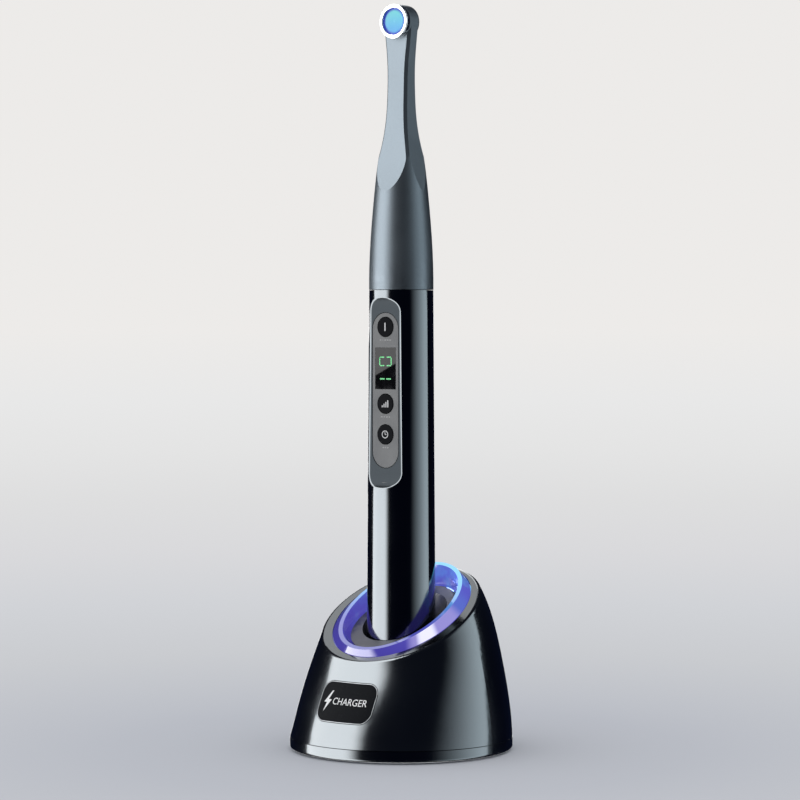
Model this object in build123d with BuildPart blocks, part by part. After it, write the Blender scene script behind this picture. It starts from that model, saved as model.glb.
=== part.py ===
"""Cordless dental curing light standing in its charging base.

Frame: +Z up, origin at the middle of the base's footprint on the table, front (keys, lens, badge) towards -Y.
Sizes are millimetres. The handpiece stands upright on the Z axis, tail down in the well of the base.
"""

from build123d import *
import math
import os

# ---------------------------------------------------------------- driving dimensions
base_radius = 38.4
plate_top = 4.4
seam_gap = 0.2
# sloping rim of the base: height on the axis and angle from level
rim_height = 47.0
rim_angle = 31.0
rim_radius = 28.6
rim_setback = -0.3
seam_step = 0.1
rim_round = 1.4
# sections of the dome between its foot and its rim: share of the way up, bulge past a straight cone, lean back
dome_sections = [(0.25, 0.9, 0.8), (0.5, 1.35, 0.85), (0.75, 1.2, 1.0)]
shell_wall = 2.0
lip_thickness = 2.0
# light ring standing in the rim: half width and half length of its ovals, centre up the slope
ring_centre = 0.2
ring_foot = (rim_radius - 4.3, rim_radius - 2.3)
ring_collar = (rim_radius - 3.0, rim_radius - 2.7)
ring_top = (ring_foot[0] - 3.5, ring_foot[1] - 0.4)
ring_top_centre = 0.8
ring_proud = 2.3
ring_wall = 1.5
ring_depth = 7.0
ring_taper = (1.9, 2.8)
led_channel_roof = 5.1
led_channel_wall = 1.7
led_count = 12
led_size = (3.2, 2.2, 0.9)
ring_board_thickness = 0.8
# tray surface inside the ring: height on the axis and angle from level
tray_height = 44.4
tray_angle = 25.5
tray_flange = 1.6
tray_gap = 0.25
mouth_flare = (1.8, 4.0)
mouth_centre = 2.2
# well that the handpiece stands in
well_clearance = 0.55
well_wall = 1.6
well_floor_top = 14.0
well_floor = 2.0
funnel_start = 27.0
# base stack, from the table up
foot_radius = 4.5
foot_proud = 0.6
foot_thickness = 1.3
foot_inset = 9.4
foot_count = 4
plate_floor = 2.4
plate_rim = 2.2
plate_register = 1.4
register_gap = 1.6
register_top = 7.4
ballast_thickness = 3.5
ballast_gap = 0.4
board_gap = 1.8
board_thickness = 1.6
board_bottom = 8.0
post_radius = 3.0
post_inset = 7.0
post_height = 22.0
post_clearance = 0.6
post_angles = (30, 150, 270)
base_screw_radius = 1.25
base_screw_head = 2.4
base_screw_length = 12.0
standoff_radius = 2.2
standoff_spots = [(20, -16), (-20, -16), (20, 8), (-20, 8)]
# charging pins
side_pin_offset = 6.1
pin_radius = 0.8
pin_flange_radius = 1.15
pin_flange = 0.5
pin_barrel_radius = 1.75
pin_barrel_bore = 1.25
pin_wire = 0.22
# power inlet
inlet_bore = 2.8
inlet_pin = 0.95
inlet_body = (9.0, 13.0, 9.2)
inlet_mouth_radius = 4.3
inlet_neck = 3.2
inlet_depth = 9.5
# badge plate on the front of the dome
badge_size = (23.4, 13.2)
badge_corner = 4.2
badge_height = 19.0
badge_thickness = 0.45
badge_proud = 0.12

# handpiece: tail and barrel up the Z axis from the well's floor
tail_length = 3.2
barrel_length = 140.6
tail_radius = 12.05
barrel_top_radius = 11.1
battery_bore = 10.0
board_bore = 8.4
tail_round = 1.2
# finger panel recess in the front of the barrel
panel_depth = 9.0
panel_flat_ends = (1.5, 0.2)
mill_radius = 6.8
panel_edge_round = 0.35
key_plate_drop = 7.7
key_plate_length = 53.2
key_plate_width = 11.2
key_plate_thickness = 1.4
key_plate_clearance = 0.12
key_plate_ledge = 1.15
# keys, by how far each lies under the top of the key plate
key_drops = {"power_button": 4.9, "mode_button": 31.2, "time_button": 41.7}
key_radius = 3.4
key_clearance = 0.12
key_proud = 0.25
key_flange_radius = 4.1
key_flange = 0.45
key_stem_radius = 0.9
switch_size = 4.5
# display
window_size = (8.8, 14.2)
window_drop = 19.1
glass_thickness = 0.8
display_thickness = 1.1
# main board and carrier
pcb_front = 4.4
pcb_thickness = 1.2
pcb_width = 13.6
pcb_overhang = (1.3, -0.1)
carrier_wall = 1.2
carrier_gap = 2.2
carrier_ends = (1.4, 2.4)
carrier_bulkhead = 1.4
# battery
cell_radius = 9.2
cell_length = 65.0
nub_radius = 2.9
nub_height = 1.0
sleeve_wall = 0.45
contact_thickness = 0.5
# tail cap
spigot_radius = 9.9
spigot_wall = 1.6
spigot_length = 4.2
cell_gap = 1.2
tail_floor = 1.6
tail_board_thickness = 1.0
centre_pad_radius = 2.4
ring_pad = (4.6, 7.6)
seal_radius = 0.5
spring_wire = 0.4
spring_radius = 4.2
# swivel joint between barrel and nose
swivel_gap = 0.2
tenon_radius = 6.0
tenon_wall = 1.2
tenon_length = 4.4
bush_clearance = 0.05
bush_height = 2.8
clip_thickness = 0.5
clip_radius = 7.0
clip_groove = 0.6
running_gap = 0.1
swivel_seal_radius = 0.45
plug_pin_radius = 1.75
plug_length = 13.0
plug_clearance = 0.06
socket_radius = 3.05
# nose: height above the seam with the cone's radius, then with the half width and half depth of the neck
nose_profile = [(18.0, 10.55), (31.0, 9.5), (38.5, 8.75), (47.0, 7.6)]
neck_profile = [
    (33.0, 9.4, 9.6),
    (39.0, 8.2, 7.1),
    (45.0, 6.85, 5.2),
    (51.0, 5.6, 4.3),
    (58.0, 4.65, 3.7),
    (68.0, 4.3, 3.15),
    (78.0, 4.5, 2.9),
    (85.0, 5.2, 2.75),
]
neck_chamfer = 0.95
head_rise = 92.2
head_radius = 6.0
head_front = 2.9
head_back = 3.1
head_back_round = 1.1
wire_channel = 1.5
cavity_radius = 4.9
cavity_back = 1.3
# light engine, from the back of the head cavity to the lens
slug_thickness = 1.6
led_board_thickness = 1.0
emitter_size = 3.4
emitter_thickness = 0.6
emitter_dome = 0.9
reflector_thickness = 1.6
lens_radius = 4.6
lens_bulge = 0.45
bezel_radius = 5.95
bezel_front = 4.7
bezel_step = 0.6
bezel_groove = 0.35
bezel_round = 0.35
wire_radius = 0.35
wire_spacing = 1.0
wire_forward = 0.8

# ---------------------------------------------------------------- derived places
rim = Plane(
    origin=(0, 0, rim_height),
    x_dir=(1, 0, 0),
    z_dir=(0, -math.sin(math.radians(rim_angle)), math.cos(math.radians(rim_angle))),
)
tray_plane = Plane(
    origin=(0, 0, tray_height),
    x_dir=(1, 0, 0),
    z_dir=(0, -math.sin(math.radians(tray_angle)), math.cos(math.radians(tray_angle))),
)
plate_bottom = foot_proud
plate_inside = plate_bottom + plate_floor
register_radius = base_radius - shell_wall - register_gap
ballast_radius = register_radius - plate_register - ballast_gap
board_radius = register_radius - plate_register - board_gap
foot_circle = base_radius - foot_inset
post_circle = base_radius - post_inset
well_radius = tail_radius + well_clearance
mouth_radii = (well_radius + mouth_flare[0], well_radius + mouth_flare[1])
tail_height = well_floor_top
tail_joint = tail_height + tail_length
barrel_top = tail_joint + barrel_length
key_plate_top = barrel_top - key_plate_drop
plate_span = (key_plate_top - key_plate_length, key_plate_top)
panel_flat = (plate_span[0] - panel_flat_ends[0], plate_span[1] + panel_flat_ends[1])
key_heights = {name: key_plate_top - drop for name, drop in key_drops.items()}
window_height = key_plate_top - window_drop
pcb_span = (plate_span[0] - pcb_overhang[0], plate_span[1] + pcb_overhang[1])
carrier_span = (pcb_span[0] - carrier_ends[0], pcb_span[1] + carrier_ends[1])
spigot_top = tail_joint + spigot_length
cell_bottom = spigot_top + cell_gap
battery_bore_top = carrier_span[0] - carrier_gap
tenon_bottom = barrel_top - tenon_length
board_top = board_bottom + board_thickness
well_floor_bottom = well_floor_top - well_floor
post_spots = [
    (post_circle * math.cos(math.radians(a)), post_circle * math.sin(math.radians(a)))
    for a in post_angles
]
pin_spots = {"centre_pin": (0, 0), "side_pin": (0, side_pin_offset)}
cell_top = cell_bottom + cell_length
tray_hub = (ring_top[0] - ring_wall - ring_taper[0], ring_top[1] - ring_wall - ring_taper[1])
key_plate_back = panel_depth - key_plate_thickness
bush_bottom = barrel_top - bush_height
clip_top = bush_bottom - running_gap
swivel_top = barrel_top + swivel_gap
nose_stations = [(swivel_top + rise, radius) for rise, radius in nose_profile]
neck_stations = [(swivel_top + rise, width, depth) for rise, width, depth in neck_profile]
head_height = swivel_top + head_rise


def front(depth):
    """Plane facing the user, depth millimetres in front of the handpiece's axis; its local y is up."""
    return Plane.XZ.offset(depth)


def oval(radii, grow=0.0, centre=ring_centre):
    """Oval of the light ring's family in the current sketch."""
    with Locations((0, centre)):
        Ellipse(radii[0] + grow, radii[1] + grow)


def dome(skin):
    """Solid dome of the base, its round sections tilting up to the rim, grown outwards by skin."""
    foot = plate_top + seam_gap
    with BuildPart() as body:
        for share, bulge, lean in [(0.0, 0.0, 0.0), *dome_sections, (1.0, 0.0, 0.0)]:
            radius = (base_radius - seam_step) * (1 - share) + rim_radius * share + bulge
            shift = rim_setback * share + lean
            tilt = math.radians(rim_angle * share)
            plane = Plane(
                origin=(0, 0, foot + (rim_height - foot) * share),
                x_dir=(1, 0, 0),
                z_dir=(0, -math.sin(tilt), math.cos(tilt)),
            )
            with BuildSketch(plane):
                with Locations((0, shift)):
                    Circle(radius + skin)
        loft()
    return body.part


def below(solid, plane):
    """The part of a solid under a sloping plane."""
    with BuildPart() as kept:
        add(solid)
        split(bisect_by=plane, keep=Keep.BOTTOM)
    return kept.part


dome_hollow = below(dome(-shell_wall), rim.offset(-lip_thickness))
dome_middle = below(dome(-shell_wall / 2), rim.offset(-lip_thickness / 2))
dome_badge_top = dome(badge_proud)
dome_badge_seat = dome(badge_proud - badge_thickness)

# ================================================================ BASE
# badge plate: thin plate let into the front of the dome, following its curve
with BuildPart() as badge_prism:
    with BuildSketch(front(base_radius + 2)):
        with Locations((0, badge_height)):
            RectangleRounded(*badge_size, badge_corner)
    extrude(amount=-base_radius)
with BuildPart() as badge_plate:
    add(badge_prism.part)
    add(dome_badge_top, mode=Mode.INTERSECT)
    add(dome_badge_seat, mode=Mode.SUBTRACT)
with BuildPart() as badge_recess:
    add(badge_prism.part)
    add(dome_badge_seat, mode=Mode.SUBTRACT)

# screw posts inside the shell, trimmed to end inside its wall
with BuildPart() as shell_posts:
    with BuildSketch(Plane.XY.offset(plate_inside)):
        with Locations(*post_spots):
            Circle(post_radius)
    extrude(amount=post_height)
    add(dome_middle, mode=Mode.INTERSECT)
with BuildPart() as post_feet:
    with BuildSketch(Plane.XY.offset(plate_inside)):
        with Locations(*post_spots):
            Circle(post_radius)
    extrude(amount=plate_top + 1 - plate_inside)

# base shell: glossy leaning dome with a sloping lip, an inlet hole and three screw posts
with BuildPart() as base_shell:
    add(dome(0.0))
    rim_face = base_shell.faces().filter_by(GeomType.PLANE).sort_by(Axis.Z)[-1]
    fillet(rim_face.edges(), rim_round)
    add(dome_hollow, mode=Mode.SUBTRACT)
    with BuildSketch(rim.offset(1)):
        oval(ring_foot, tray_gap)
    extrude(amount=-lip_thickness - 3, mode=Mode.SUBTRACT)
    add(shell_posts.part)
    add(post_feet.part)
    with BuildSketch(Plane.XY.offset(plate_inside)):
        with Locations(*post_spots):
            Circle(base_screw_radius)
    extrude(amount=base_screw_length, mode=Mode.SUBTRACT)
    add(badge_recess.part, mode=Mode.SUBTRACT)
    with BuildSketch(front(-base_radius - 2)):
        with Locations((0, board_top + inlet_body[2] / 2)):
            Circle(inlet_mouth_radius + tray_gap)
    extrude(amount=12, mode=Mode.SUBTRACT)

# base plate: bottom cover with a rim, a register inside the shell, standoffs and countersunk holes
with BuildPart() as base_plate:
    with BuildSketch(Plane.XY.offset(plate_bottom)):
        Circle(base_radius)
    extrude(amount=plate_top - plate_bottom)
    fillet(base_plate.edges().group_by(Axis.Z)[0], 1.0)
    with BuildSketch(Plane.XY.offset(plate_inside)):
        Circle(base_radius - plate_rim)
    extrude(amount=plate_top, mode=Mode.SUBTRACT)
    with BuildSketch(Plane.XY.offset(plate_inside)):
        Circle(register_radius)
        Circle(register_radius - plate_register, mode=Mode.SUBTRACT)
        with Locations(*post_spots):
            Circle(post_radius + post_clearance, mode=Mode.SUBTRACT)
    extrude(amount=register_top - plate_inside)
    with BuildSketch(Plane.XY.offset(plate_inside)):
        with Locations(*standoff_spots):
            Circle(standoff_radius)
    extrude(amount=board_bottom - plate_inside)
    with BuildSketch(Plane.XY.offset(plate_bottom)):
        with PolarLocations(foot_circle, foot_count, start_angle=45):
            Circle(foot_radius)
    extrude(amount=foot_thickness - foot_proud, mode=Mode.SUBTRACT)
    with Locations(Plane.XY.offset(plate_bottom)):
        with Locations(*post_spots):
            Cylinder(base_screw_radius + 0.15, plate_floor, align=(Align.CENTER, Align.CENTER, Align.MIN),
                     mode=Mode.SUBTRACT)
            Cylinder(base_screw_head + 0.15, plate_floor / 2, align=(Align.CENTER, Align.CENTER, Align.MIN),
                     mode=Mode.SUBTRACT)

# rubber feet
with BuildPart() as rubber_feet:
    with BuildSketch(Plane.XY):
        with PolarLocations(foot_circle, foot_count, start_angle=45):
            Circle(foot_radius - 0.1)
    extrude(amount=foot_thickness)
    chamfer(rubber_feet.edges().group_by(Axis.Z)[0], 0.25)

# base screws: pan heads in the plate's counterbores, shanks in the shell's posts
with BuildPart() as base_screws:
    with Locations(Plane.XY.offset(plate_bottom + plate_floor / 2)):
        with Locations(*post_spots):
            Cylinder(base_screw_radius, base_screw_length, align=(Align.CENTER, Align.CENTER, Align.MIN))
            Cylinder(base_screw_head, plate_floor / 2 - 0.3, align=(Align.CENTER, Align.CENTER, Align.MAX))
    with Locations(Plane.XY.offset(plate_bottom + 0.3)):
        with Locations(*post_spots):
            Box(0.6, 3.2, 0.5, align=(Align.CENTER, Align.CENTER, Align.MIN), mode=Mode.SUBTRACT)
            Box(3.2, 0.6, 0.5, align=(Align.CENTER, Align.CENTER, Align.MIN), mode=Mode.SUBTRACT)

# ballast plate: steel disc lying on the base plate
with BuildPart() as ballast_plate:
    with BuildSketch(Plane.XY.offset(plate_inside)):
        Circle(ballast_radius)
        with Locations(*post_spots):
            Circle(post_radius + post_clearance, mode=Mode.SUBTRACT)
        with Locations(*standoff_spots):
            Circle(standoff_radius + 0.4, mode=Mode.SUBTRACT)
    extrude(amount=ballast_thickness)

# charger board on the plate's standoffs
with BuildPart() as charger_board:
    with BuildSketch(Plane.XY.offset(board_bottom)):
        Circle(board_radius)
        with Locations(*post_spots):
            Circle(post_radius + post_clearance, mode=Mode.SUBTRACT)
    extrude(amount=board_thickness)

# parts soldered to the charger board
with BuildPart() as charger_chips:
    with Locations(Plane.XY.offset(board_top)):
        with Locations((-22, 4)):
            Box(5, 4, 1.5, align=(Align.CENTER, Align.CENTER, Align.MIN))
        with Locations((22, 2)):
            Box(7, 7, 3.6, align=(Align.CENTER, Align.CENTER, Align.MIN))
        with Locations((-16, 18), (-10, -22)):
            Cylinder(2.5, 5.4, align=(Align.CENTER, Align.CENTER, Align.MIN))
        with Locations((12, -22), (16, -20), (-20, -6), (-20, 12)):
            Box(2.0, 1.25, 0.6, align=(Align.CENTER, Align.CENTER, Align.MIN))

# power inlet: barrel jack on the board, its mouth through the back of the shell
inlet_axis = board_top + inlet_body[2] / 2
inlet_mouth = base_radius - 0.6
inlet_back = inlet_mouth - inlet_neck - inlet_body[1]
with BuildPart() as power_inlet:
    with Locations((0, inlet_back + inlet_body[1] / 2, inlet_axis)):
        Box(*inlet_body)
    with BuildSketch(front(-inlet_back - inlet_body[1])):
        with Locations((0, inlet_axis)):
            Circle(inlet_mouth_radius)
    extrude(amount=inlet_back + inlet_body[1] - inlet_mouth)
    with BuildSketch(front(-inlet_mouth)):
        with Locations((0, inlet_axis)):
            Circle(inlet_bore)
            Circle(inlet_pin, mode=Mode.SUBTRACT)
    extrude(amount=inlet_depth, mode=Mode.SUBTRACT)
    with BuildSketch(front(-inlet_mouth)):
        with Locations((0, inlet_axis)):
            Circle(inlet_bore)
    extrude(amount=1.2, mode=Mode.SUBTRACT)

# dock tray: sloping surface round the mouth of the well, a flange under the light ring, and the well itself
with BuildPart() as dock_tray:
    with BuildSketch(rim.offset(-ring_depth)):
        oval(ring_collar, -0.1)
    extrude(amount=-tray_flange)
    with BuildSketch(rim.offset(-ring_depth)):
        oval(tray_hub)
    extrude(amount=ring_depth + 2)
    split(bisect_by=tray_plane, keep=Keep.BOTTOM)
    with BuildSketch(Plane.XY.offset(funnel_start)):
        Circle(well_radius + well_wall)
    with BuildSketch(tray_plane.offset(-1)):
        with Locations((0, mouth_centre)):
            Ellipse(mouth_radii[0] + well_wall, mouth_radii[1] + well_wall)
    loft()
    with BuildSketch(Plane.XY.offset(board_top)):
        Circle(well_radius + well_wall)
    extrude(amount=funnel_start - board_top)
    with BuildSketch(Plane.XY.offset(funnel_start)):
        Circle(well_radius)
    with BuildSketch(tray_plane):
        with Locations((0, mouth_centre)):
            Ellipse(*mouth_radii)
    loft(mode=Mode.SUBTRACT)
    with BuildSketch(Plane.XY.offset(well_floor_top)):
        Circle(well_radius)
    extrude(amount=funnel_start - well_floor_top, mode=Mode.SUBTRACT)
    with BuildSketch(Plane.XY.offset(board_top)):
        Circle(well_radius)
    extrude(amount=well_floor_bottom - board_top, mode=Mode.SUBTRACT)
    with BuildSketch(Plane.XY.offset(well_floor_bottom)):
        with Locations(*pin_spots.values()):
            Circle(pin_radius + 0.15)
    extrude(amount=well_floor, mode=Mode.SUBTRACT)

# light ring: clear bevelled oval standing on the tray's flange, with a channel for its lamps underneath
with BuildPart() as light_ring:
    with BuildSketch(rim.offset(-ring_depth)):
        oval(ring_collar, -0.1)
    extrude(amount=ring_depth - lip_thickness - 0.1)
    with BuildSketch(rim.offset(-lip_thickness - 1)):
        oval(ring_foot, -0.05)
    extrude(amount=lip_thickness + 1)
    with BuildSketch(rim):
        oval(ring_foot, -0.05)
    with BuildSketch(rim.offset(ring_proud)):
        oval(ring_top, centre=ring_top_centre)
    loft()
    with BuildSketch(rim.offset(-ring_depth)):
        oval(tray_hub, tray_gap)
    with BuildSketch(rim.offset(ring_proud)):
        oval(ring_top, -ring_wall, ring_top_centre)
    loft(mode=Mode.SUBTRACT)
    with BuildSketch(rim.offset(-ring_depth)):
        oval(ring_foot, -led_channel_wall)
    extrude(amount=ring_depth - led_channel_roof, mode=Mode.SUBTRACT)

# ring board and its lamps, in the ring's channel
ring_board_outer = led_channel_wall + 0.15
with BuildPart() as ring_board:
    with BuildSketch(rim.offset(-ring_depth)):
        oval(ring_foot, -ring_board_outer)
        with Locations((0, ring_centre)):
            Ellipse(tray_hub[0] + 0.3, tray_hub[1] + 0.3, mode=Mode.SUBTRACT)
    extrude(amount=ring_board_thickness)
lamp_radii = [
    (tray_hub[i] + 0.3 + ring_foot[i] - ring_board_outer) / 2 for i in (0, 1)
]
with BuildPart() as ring_leds:
    with Locations(rim.offset(-ring_depth + ring_board_thickness)):
        for step in range(led_count):
            turn = 2 * math.pi * (step + 0.5) / led_count
            spot = (lamp_radii[0] * math.cos(turn), ring_centre + lamp_radii[1] * math.sin(turn))
            tangent = math.degrees(math.atan2(lamp_radii[1] * math.cos(turn), -lamp_radii[0] * math.sin(turn)))
            with Locations(Location((spot[0], spot[1], 0), (0, 0, tangent))):
                Box(*led_size, align=(Align.CENTER, Align.CENTER, Align.MIN))

# charging pins: brass barrels on the board, sprung plungers through the well's floor
with BuildPart() as pin_barrels:
    with BuildSketch(Plane.XY.offset(board_top)):
        with Locations(*pin_spots.values()):
            Circle(pin_barrel_radius)
    extrude(amount=well_floor_bottom - board_top)
    with BuildSketch(Plane.XY.offset(board_top + 0.3)):
        with Locations(*pin_spots.values()):
            Circle(pin_barrel_bore)
    extrude(amount=well_floor_bottom - board_top, mode=Mode.SUBTRACT)

flange_top = well_floor_bottom - 0.05
flange_bottom = flange_top - pin_flange


def charge_pin(spot):
    """Sprung plunger whose tip touches the handpiece's tail."""
    with BuildPart() as pin:
        with Locations((*spot, flange_bottom)):
            Cylinder(pin_flange_radius, pin_flange, align=(Align.CENTER, Align.CENTER, Align.MIN))
        with Locations((*spot, flange_top)):
            Cylinder(pin_radius, well_floor_top - flange_top, align=(Align.CENTER, Align.CENTER, Align.MIN))
        fillet(pin.edges().group_by(Axis.Z)[-1], 0.3)
    return pin


def coil(spot, bottom, top, radius, wire, turns):
    """Round-wire compression spring standing on bottom."""
    height = top - bottom - wire
    start = (spot[0] + radius, spot[1], bottom + wire / 2)
    with BuildPart() as spring:
        with BuildLine():
            Helix(pitch=height / turns, height=height, radius=radius, center=(spot[0], spot[1], bottom + wire / 2))
        with BuildSketch(Plane(origin=start, x_dir=(1, 0, 0), z_dir=(0, 1, 0))):
            Circle(wire / 2)
        sweep(is_frenet=True)
    return spring


centre_pin = charge_pin(pin_spots["centre_pin"])
side_pin = charge_pin(pin_spots["side_pin"])
pin_spring_turns = 3
centre_pin_spring = coil(pin_spots["centre_pin"], board_top + 0.32, flange_bottom - 0.02, 0.85, pin_wire,
                         pin_spring_turns)
side_pin_spring = coil(pin_spots["side_pin"], board_top + 0.32, flange_bottom - 0.02, 0.85, pin_wire,
                       pin_spring_turns)

# ================================================================ HANDPIECE
# finger recess: as milled along X, a flat with a round run-out at each end
with BuildPart() as panel_mill:
    with BuildSketch(Plane.YZ):
        with Locations((-panel_depth - 1.5 * mill_radius, sum(panel_flat) / 2)):
            RectangleRounded(3 * mill_radius, panel_flat[1] - panel_flat[0] + 2 * mill_radius, mill_radius)
    extrude(amount=tail_radius + 2, both=True)

# barrel tube: tapered outside, bored for the battery below and the electronics above
with BuildPart() as barrel_tube:
    with BuildSketch(Plane.XZ):
        with BuildLine():
            Polyline((0, tail_joint), (tail_radius, tail_joint), (barrel_top_radius, barrel_top), (0, barrel_top),
                     close=True)
        make_face()
    revolve(axis=Axis.Z)
    turned_edges = barrel_tube.edges()
    add(panel_mill.part, mode=Mode.SUBTRACT)
    fillet((barrel_tube.edges() - turned_edges).filter_by(GeomType.BSPLINE), panel_edge_round)
    with BuildSketch(Plane.XY.offset(tail_joint)):
        Circle(battery_bore)
    extrude(amount=battery_bore_top - tail_joint, mode=Mode.SUBTRACT)
    with BuildSketch(Plane.XY.offset(battery_bore_top)):
        Circle(board_bore)
    extrude(amount=barrel_top - battery_bore_top, mode=Mode.SUBTRACT)
    for depth, inset in ((key_plate_back, -key_plate_clearance), (pcb_front, key_plate_ledge)):
        with BuildSketch(front(depth)):
            with Locations((0, sum(plate_span) / 2)):
                SlotOverall(plate_span[1] - plate_span[0] - 2 * inset, key_plate_width - 2 * inset, rotation=90)
        extrude(amount=panel_depth + 1 - depth, mode=Mode.SUBTRACT)

# key plate: slim grey panel in the recess, with holes for the keys and the display
with BuildPart() as key_plate:
    with BuildSketch(front(key_plate_back)):
        with Locations((0, sum(plate_span) / 2)):
            SlotOverall(plate_span[1] - plate_span[0], key_plate_width, rotation=90)
        with Locations(*[(0, h) for h in key_heights.values()]):
            Circle(key_radius + key_clearance, mode=Mode.SUBTRACT)
        with Locations((0, window_height)):
            Rectangle(window_size[0] + 0.1, window_size[1] + 0.1, mode=Mode.SUBTRACT)
    extrude(amount=key_plate_thickness)
    fillet(key_plate.faces().sort_by(Axis.Y)[0].outer_wire().edges(), 0.25)

# display: glass in the plate's window over a small segment module
with BuildPart() as display_glass:
    with BuildSketch(front(panel_depth - glass_thickness)):
        with Locations((0, window_height)):
            Rectangle(*window_size)
    extrude(amount=glass_thickness)
with BuildPart() as display_module:
    with BuildSketch(front(panel_depth - glass_thickness - display_thickness)):
        with Locations((0, window_height)):
            Rectangle(window_size[0] - 0.4, window_size[1] - 0.4)
    extrude(amount=display_thickness)
    with BuildSketch(front(pcb_front)):
        with Locations((0, window_height)):
            Rectangle(window_size[0] - 2, window_size[1] - 4)
    extrude(amount=panel_depth - glass_thickness - display_thickness - pcb_front)

# keys: dished caps with a retaining flange under the plate and a stem into the switch
flange_front = key_plate_back - 0.05
stem_end = pcb_front + 1.3


def key(height):
    """One push key, dished on top."""
    with BuildPart() as cap:
        with BuildSketch(front(flange_front)):
            with Locations((0, height)):
                Circle(key_radius)
        extrude(amount=panel_depth + key_proud - flange_front)
        fillet(cap.faces().sort_by(Axis.Y)[0].edges(), 0.2)
        with BuildSketch(front(flange_front - key_flange)):
            with Locations((0, height)):
                Circle(key_flange_radius)
        extrude(amount=key_flange)
        with BuildSketch(front(stem_end)):
            with Locations((0, height)):
                Circle(key_stem_radius)
        extrude(amount=flange_front - key_flange - stem_end)
    return cap


power_button = key(key_heights["power_button"])
mode_button = key(key_heights["mode_button"])
time_button = key(key_heights["time_button"])

# tact switches under the keys
with BuildPart() as tact_switches:
    with BuildSketch(front(pcb_front)):
        with Locations(*[(0, h) for h in key_heights.values()]):
            Rectangle(switch_size, switch_size)
    extrude(amount=1.8)
    with BuildSketch(front(pcb_front + 0.8)):
        with Locations(*[(0, h) for h in key_heights.values()]):
            Circle(key_stem_radius + 0.1)
    extrude(amount=1.2, mode=Mode.SUBTRACT)

# main board
with BuildPart() as main_board:
    with BuildSketch(front(pcb_front - pcb_thickness)):
        with Locations((0, sum(pcb_span) / 2)):
            Rectangle(pcb_width, pcb_span[1] - pcb_span[0])
        with Locations((5.3, pcb_span[0] + 3), (-5.3, pcb_span[1] - 3)):
            Circle(0.85, mode=Mode.SUBTRACT)
    extrude(amount=pcb_thickness)

# parts on the back of the main board
pcb_back = -(pcb_front - pcb_thickness)
with BuildPart() as board_chips:
    with Locations((0, pcb_back, 128)):
        Box(6, 1.0, 6, align=(Align.CENTER, Align.MIN, Align.CENTER))
    with Locations((0, pcb_back, 118)):
        Box(5.4, 2.8, 5.4, align=(Align.CENTER, Align.MIN, Align.CENTER))
    with Locations((4.2, pcb_back, 123), (-4.2, pcb_back, 123), (4.2, pcb_back, 133), (-4.2, pcb_back, 133)):
        Box(1.25, 0.6, 2.0, align=(Align.CENTER, Align.MIN, Align.CENTER))
with BuildPart() as buzzer:
    with BuildSketch(front(-pcb_back)):
        with Locations((0, 105)):
            Circle(4.0)
    extrude(amount=-3.4)
    with BuildSketch(front(-pcb_back - 3.4)):
        with Locations((0, 105)):
            Circle(0.8)
    extrude(amount=0.8, mode=Mode.SUBTRACT)

# carrier: half tube behind the board with a bulkhead at each end
carrier_radius = board_bore - 0.15
with BuildPart() as carrier:
    with BuildSketch(Plane.XY.offset(carrier_span[0])):
        Circle(carrier_radius)
        Circle(carrier_radius - carrier_wall, mode=Mode.SUBTRACT)
        with Locations((0, pcb_back - carrier_radius)):
            Rectangle(2 * carrier_radius, 2 * carrier_radius, mode=Mode.SUBTRACT)
    extrude(amount=carrier_span[1] - carrier_span[0])
    for foot in (carrier_span[0], carrier_span[1] - carrier_bulkhead):
        with BuildSketch(Plane.XY.offset(foot)):
            Circle(carrier_radius)
            with Locations((0, -key_plate_back - carrier_radius)):
                Rectangle(2 * carrier_radius, 2 * carrier_radius, mode=Mode.SUBTRACT)
        extrude(amount=carrier_bulkhead)
    with Locations((5.3, pcb_back, pcb_span[0] + 3), (-5.3, pcb_back, pcb_span[1] - 3)):
        Cylinder(1.6, 5, rotation=(90, 0, 0), align=(Align.CENTER, Align.CENTER, Align.MAX))
    with Locations((5.3, pcb_back, pcb_span[0] + 3), (-5.3, pcb_back, pcb_span[1] - 3)):
        Cylinder(0.7, 3.2, rotation=(90, 0, 0), align=(Align.CENTER, Align.CENTER, Align.MAX), mode=Mode.SUBTRACT)
    with BuildSketch(Plane.XY.offset(carrier_span[1] - carrier_bulkhead)):
        Circle(socket_radius)
    extrude(amount=carrier_bulkhead, mode=Mode.SUBTRACT)
    with BuildSketch(Plane.XY.offset(carrier_span[0])):
        Circle(carrier_radius)
    extrude(amount=carrier_span[1] - carrier_span[0], mode=Mode.INTERSECT)

# board screws
with BuildPart() as board_screws:
    with Locations((5.3, pcb_back, pcb_span[0] + 3), (-5.3, pcb_back, pcb_span[1] - 3)):
        Cylinder(0.7, 3.0, rotation=(90, 0, 0), align=(Align.CENTER, Align.CENTER, Align.MAX))
        Cylinder(0.7, pcb_thickness, rotation=(90, 0, 0), align=(Align.CENTER, Align.CENTER, Align.MIN))
    with Locations((5.3, -pcb_front, pcb_span[0] + 3), (-5.3, -pcb_front, pcb_span[1] - 3)):
        Cylinder(1.3, 0.7, rotation=(90, 0, 0), align=(Align.CENTER, Align.CENTER, Align.MIN))

# jack socket for the turning nose
plug_tip = tenon_bottom - plug_length
with BuildPart() as jack_socket:
    with BuildSketch(Plane.XY.offset(plug_tip - 1.2)):
        Circle(socket_radius)
    extrude(amount=carrier_span[1] + 0.4 - plug_tip + 1.2)
    with BuildSketch(Plane.XY.offset(plug_tip - 0.3)):
        Circle(plug_pin_radius + plug_clearance)
    extrude(amount=plug_length + 1, mode=Mode.SUBTRACT)

# swivel bush in the mouth of the barrel
with BuildPart() as swivel_bush:
    with BuildSketch(Plane.XY.offset(bush_bottom)):
        Circle(board_bore)
        Circle(tenon_radius + bush_clearance, mode=Mode.SUBTRACT)
    extrude(amount=bush_height)

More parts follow.
